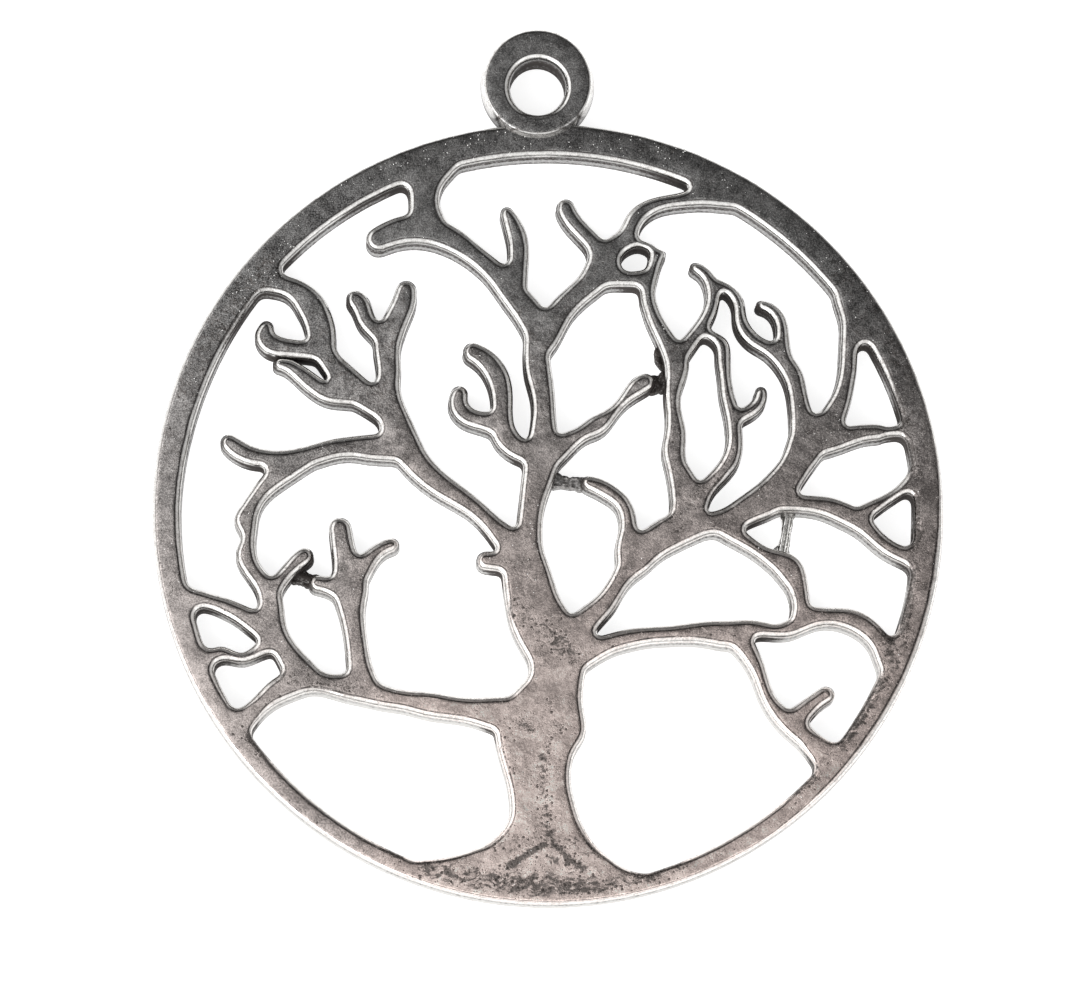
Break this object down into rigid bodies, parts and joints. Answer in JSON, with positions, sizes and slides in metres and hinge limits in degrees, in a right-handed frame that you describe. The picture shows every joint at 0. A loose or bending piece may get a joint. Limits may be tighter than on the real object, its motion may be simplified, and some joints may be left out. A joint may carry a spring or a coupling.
{
  "type": "tree pendant",
  "caption": "Flat round pendant pierced into a bare tree inside a rim, cast in one piece with a hanging loop at the top.",
  "frame": {"origin": "centre of the overall rectangle seen from above, on the flat back that the pendant lies on", "axes": "+Z out of the decorated face, +Y from the tree's roots to the hanging loop, +X to the right seen from the face"},
  "size_m": [0.05, 0.0562, 0.0028],
  "materials": {
    "antique_silver": "antique silver plate on cast zinc alloy: satin face with dark patina in the pits, brighter bevels"
  },
  "bodies": {
    "root": {"tree_pendant": "antique_silver"}
  },
  "joints": []
}
